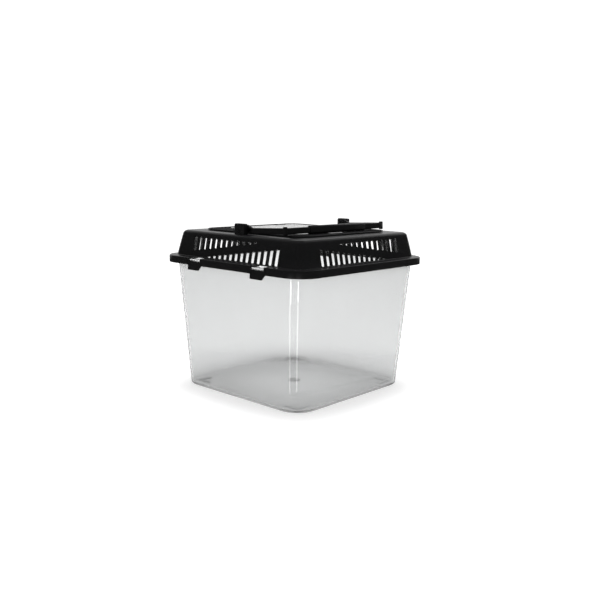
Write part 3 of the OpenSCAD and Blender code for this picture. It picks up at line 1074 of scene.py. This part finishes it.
# %% Handle sizes
ARM_Y = 71.6
STRAP_T = 3.0
STRAP_H = 5.6
REACH = 55.0
STRAP_CORNER = 5.0
GRIP_T = 4.6
GRIP_H = 7.8
GRIP_L = 80.0
HANDLE_PIN_R = 1.8
HANDLE_PIN_L = 4.7
HANDLE_RISE = math.radians(3.0)
HEEL = [(-2.8, 0), (-2.8, 5.8), (5, 5.8), (11, 2.8), (11, 0)]
NUB_L = 4.0
GRIP_ROUND = 2.0
PIN_SINK = 0.5
print("handle reaches", REACH, "mm from its pivot line")

# %% Shape the strap
SQUARE = [(-1, -1), (1, -1), (1, 1), (-1, 1)]
handle_bm = bmesh.new()
arm_middle = ARM_Y - STRAP_T / 2
bend = STRAP_CORNER - STRAP_T / 2
section = [(0, y * STRAP_T / 2 - arm_middle, z * STRAP_H / 2) for y, z in SQUARE]
start_face = handle_bm.faces.new([handle_bm.verts.new(place) for place in section])


def extrude_on(bm, face, vec):
    far = push(bm, [face], vec)
    bmesh.ops.delete(bm, geom=[face], context="FACES_ONLY")
    return far[0]


def spin_on(bm, face, centre):
    made = bmesh.ops.spin(
        bm, geom=[face], cent=centre, axis=(0, 0, 1), angle=math.pi / 2, steps=8,
        use_merge=False, use_duplicate=False, dvec=(0, 0, 0),
    )["geom_last"]
    bmesh.ops.delete(bm, geom=[face], context="FACES_ONLY")
    return next(f for f in made if isinstance(f, bmesh.types.BMFace))


bar_x = REACH - STRAP_T / 2
arm_l = bar_x - bend
end = extrude_on(handle_bm, start_face, (arm_l, 0, 0))
end = spin_on(handle_bm, end, (arm_l, -arm_middle + bend, 0))
end = extrude_on(handle_bm, end, (0, 2 * (arm_middle - bend), 0))
end = spin_on(handle_bm, end, (arm_l, arm_middle - bend, 0))
end = extrude_on(handle_bm, end, (-arm_l, 0, 0))
bmesh.ops.remove_doubles(handle_bm, verts=handle_bm.verts, dist=0.001)
bmesh.ops.recalc_face_normals(handle_bm, faces=handle_bm.faces)
soften(handle_bm, 0.5, segments=3, angle=50)
print("strap has", len(handle_bm.faces), "faces")

# %% Add the grip, nubs, heels and pins
parts = [handle_bm]
grip_low = (bar_x - GRIP_T / 2, -GRIP_L / 2, -GRIP_H / 2)
grip_high = (bar_x + GRIP_T / 2, GRIP_L / 2, GRIP_H / 2)
grip = block(grip_low, grip_high)
bevel(grip, [e for e in grip.edges if e.calc_length() > GRIP_L / 2], GRIP_ROUND, 6)
soften(grip, 0.6, segments=3, angle=60)
parts.append(grip)
for side in (-1, 1):
    arm_y = side * arm_middle
    nub_low = (REACH - NUB_L, arm_y - STRAP_T / 2, -GRIP_H / 2)
    nub_high = (REACH - 0.6, arm_y + STRAP_T / 2 - 0.1, GRIP_H / 2)
    parts.append(block(nub_low, nub_high, 0.6, 3))
    parts.append(rod(STRAP_H / 2, STRAP_T, (0, arm_y, 0), edge=0.4))
    heel = prism([(x, arm_y - STRAP_T / 2, z) for x, z in HEEL], (0, STRAP_T, 0))
    soften(heel, 0.4, segments=3, angle=20)
    parts.append(heel)
    pin_y = side * (ARM_Y + HANDLE_PIN_L / 2 - PIN_SINK)
    parts.append(rod(HANDLE_PIN_R, HANDLE_PIN_L + 2 * PIN_SINK, (0, pin_y, 0), edge=0.3))
handle_bm = moved(turned(merged(*parts), -HANDLE_RISE, "Y"), handle_pivot)
finish_piece(handle_bm, "handle_strap", "handle", "carry_handle", [dark_gloss], "dark_plastic")

# %% [markdown]
# ## The clips
# Each clip is a small frame: two posts bend at the skirt's top, a strip joins them, a
# catch behind it grips the rim, and a flared tab below is for a thumb. One clip is shaped
# on the front side and turned into place for each of the four.

# %% Build the clips
CATCH_HALF = 7.0
CATCH_REACH = 1.7
TAB_DROP = 4.2
TAB_FLARE = 2.0
TAB_T = 1.6
TAB_TOP_HALF = 9.2
TAB_LOW_HALF = 7.2
TAB_SINK = 0.3
POST_ROUND = 0.88
CATCH_TOP = 3.6
CATCH_T = 1.6
clip_face = -lid_half
clip_back = clip_face + CLIP_T


def shape_clip():
    parts = []
    for side in (-1, 1):
        post = plate(CLIP_T, post_top - skirt_z, POST_W, (0, 0, POST_ROUND, POST_ROUND))
        turned(post, math.pi / 2, "Z")
        parts.append(moved(post, (side * (clip_half - POST_W / 2), clip_face + CLIP_T / 2, skirt_z)))
    parts.append(block((-clip_half, clip_face, skirt_z), (clip_half, clip_back, skirt_z + STRIP_H)))
    catch_z = skirt_z + CATCH_TOP
    catch_low = (-CATCH_HALF, clip_face + 1, catch_z - CATCH_T)
    parts.append(block(catch_low, (CATCH_HALF, clip_back + CATCH_REACH, catch_z)))
    tab = bmesh.new()
    bmesh.ops.create_cube(tab, size=1)
    for vert in tab.verts:
        upper = vert.co.z > 0
        half = TAB_TOP_HALF if upper else TAB_LOW_HALF
        y = clip_face if upper else clip_face - TAB_FLARE
        z = skirt_z + TAB_SINK if upper else skirt_z - TAB_DROP
        vert.co = (math.copysign(half, vert.co.x), y if vert.co.y < 0 else y + TAB_T, z)
    parts.append(tab)
    clip = combine(parts[0], parts[1:], "UNION")
    soften(clip, 0.25, segments=3)
    return clip


for name, x, side in (
    ("clip_front_left", -clip_x, -1), ("clip_front_right", clip_x, -1),
    ("clip_back_left", -clip_x, 1), ("clip_back_right", clip_x, 1),
):
    clip = shape_clip()
    if side > 0:
        turned(clip, math.pi, "Z")
    finish_piece(moved(clip, (x, 0, 0)), name + "_tongue", name, name, [dark_gloss], "dark_plastic")

# %% [markdown]
# ## Floor, backdrop and light
# The photograph is lit like a catalogue picture: white everywhere, with the object's soft
# shadow on the floor. The floor and backdrop glow for the eye and through clear plastic,
# and act as plain white paper for the rest, so they are white without more light on the
# object. Close to the object the floor glows less, a painted shadow that darkens the floor
# seen under and through the tank. A soft lamp overhead gives the light and the rest of the
# shadow. It stays out of reflections, which keeps the black lid as even as in the photograph.
# Narrow upright lamps near the tank's front corner give no diffuse light, and only draw two
# thin bright lines in it.

# %% Paper for the floor and the backdrop
# Between these distances from the middle, the floor's glow rises from its painted shadow to full white.
NEAR_DISTANCE = 0.09
FAR_DISTANCE = 0.19


def by_distance(nodes, distance, near, far):
    """A value that changes from near the object to far from it."""
    value = add_node(nodes, "ShaderNodeMapRange")
    value.inputs["From Min"].default_value = NEAR_DISTANCE
    value.inputs["From Max"].default_value = FAR_DISTANCE
    value.inputs["To Min"].default_value = near
    value.inputs["To Max"].default_value = far
    join(nodes, distance, "Value", value, "Value")
    return value


def paper(name, colour, glow, in_gloss):
    """White paper that glows for the eye and through clear plastic. Glossy reflections see
    another brightness. Both are given near the object and far from it. A glow that is lower
    near the object is a painted shadow."""
    material = bpy.data.materials.new(name)
    material.use_nodes = True
    nodes = material.node_tree
    nodes.nodes.remove(nodes.nodes["Principled BSDF"])
    coordinates = add_node(nodes, "ShaderNodeTexCoord")
    distance = add_node(nodes, "ShaderNodeVectorMath", operation="LENGTH")
    join(nodes, coordinates, "Object", distance, 0)
    seen_glow = add_node(nodes, "ShaderNodeMath", operation="MULTIPLY")
    join(nodes, rays(nodes, *SEEN), "Value", seen_glow, 0)
    join(nodes, by_distance(nodes, distance, *glow), "Result", seen_glow, 1)
    light = add_node(nodes, "ShaderNodeEmission")
    join(nodes, seen_glow, "Value", light, "Strength")
    diffuse = add_node(nodes, "ShaderNodeBsdfDiffuse", Color=grey(colour))
    both = add_node(nodes, "ShaderNodeAddShader")
    join(nodes, diffuse, 0, both, 0)
    join(nodes, light, 0, both, 1)
    even = add_node(nodes, "ShaderNodeEmission")
    join(nodes, by_distance(nodes, distance, *in_gloss), "Result", even, "Strength")
    choice = mix_shaders(nodes, rays(nodes, *MIRRORED), both, even)
    join(nodes, choice, 0, nodes.nodes["Material Output"], "Surface")
    return material


# Near the object the floor glows at 0.68 instead of 1.0: a painted shadow under and round the tank.
floor_paper = paper("floor_paper", colour=0.5, glow=(0.68, 1.0), in_gloss=(0.35, 0.08))
backdrop_paper = paper("backdrop_paper", colour=0.3, glow=(1.05, 1.05), in_gloss=(0.75, 0.75))
print("papers:", floor_paper.name, backdrop_paper.name)

# %% Floor and backdrop
FLOOR_R = 6.0
BACKDROP_DISTANCE = 2.2
BACKDROP_HEIGHT = 2.0
BACKDROP_SPAN = math.radians(120)

floor_bm = bmesh.new()
bmesh.ops.create_circle(floor_bm, cap_ends=True, segments=64, radius=FLOOR_R)
floor = to_object(floor_bm, "floor")
floor.data.materials.append(floor_paper)

backdrop_bm = bmesh.new()
start = Matrix.Rotation(-BACKDROP_SPAN / 2, 3, "Z") @ view_ahead * BACKDROP_DISTANCE
line = [backdrop_bm.verts.new(start), backdrop_bm.verts.new(start + Vector((0, 0, BACKDROP_HEIGHT)))]
edge = backdrop_bm.edges.new(line)
bmesh.ops.spin(
    backdrop_bm, geom=[edge], cent=(0, 0, 0), axis=(0, 0, 1), angle=BACKDROP_SPAN, steps=32,
    use_merge=False, use_duplicate=False, dvec=(0, 0, 0),
)
backdrop = to_object(backdrop_bm, "backdrop")
backdrop.data.materials.append(backdrop_paper)
print("floor", FLOOR_R, "m, backdrop", BACKDROP_DISTANCE, "m away")

# %% World
ROOM_LIGHT = 0.3
SEEN_LIGHT = 1.0
MIRRORED_LIGHT = 0.05

world = bpy.data.worlds.new("studio")
bpy.context.scene.world = world
world.use_nodes = True
nodes = world.node_tree
room = nodes.nodes["Background"]
room.inputs["Color"].default_value = grey(ROOM_LIGHT)
white = add_node(nodes, "ShaderNodeBackground", Color=grey(SEEN_LIGHT))
dim = add_node(nodes, "ShaderNodeBackground", Color=grey(MIRRORED_LIGHT))
for_gloss = mix_shaders(nodes, rays(nodes, *MIRRORED), room, dim)
for_eye = mix_shaders(nodes, rays(nodes, *SEEN), for_gloss, white)
join(nodes, for_eye, 0, nodes.nodes["World Output"], "Surface")
print("world", world.name, "has", len(nodes.nodes), "nodes")

# %% Lamps
def lamp(name, place, target, width, length, power):
    data = bpy.data.lights.new(name, "AREA")
    data.shape = "RECTANGLE"
    data.size = width
    data.size_y = length
    data.energy = power
    obj = bpy.data.objects.new(name, data)
    bpy.context.scene.collection.objects.link(obj)
    away = Vector(place) - Vector(target)
    obj.matrix_world = Matrix.Translation(place) @ away.to_track_quat("Z", "Y").to_matrix().to_4x4()
    obj.visible_camera = False
    return obj


OVERHEAD_H = 1.6
OVERHEAD_BEHIND = 0.12
OVERHEAD_SIZE = 0.7
OVERHEAD_POWER = 26.0
overhead = view_ahead * OVERHEAD_BEHIND + Vector((0, 0, OVERHEAD_H))
overhead_lamp = lamp("overhead_lamp", overhead, (0, 0, 0.1), OVERHEAD_SIZE, OVERHEAD_SIZE, OVERHEAD_POWER)
overhead_lamp.visible_glossy = False

STRIPS = (("left_strip", (0.0697, -0.0821), -85), ("right_strip", (0.0761, -0.0782), -50))
STRIP_PARTS = (("low", 0.03, 0.002, 0.091, 3.0), ("high", 0.12, 0.06, 0.086, 6.0))
STRIP_SPREAD = 0.13
for name, spot, heading in STRIPS:
    for part, distance, low, high, glow in STRIP_PARTS:
        away = Matrix.Rotation(math.radians(heading), 3, "Z") @ Vector((distance, 0, 0))
        on_corner = Vector((*spot, (low + high) / 2))
        width = distance * STRIP_SPREAD
        power = math.pi * glow * width * (high - low)
        strip = lamp(f"{name}_{part}", on_corner + away, on_corner, width, high - low, power)
        strip.visible_diffuse = False
bpy.context.scene.view_settings.view_transform = "Standard"
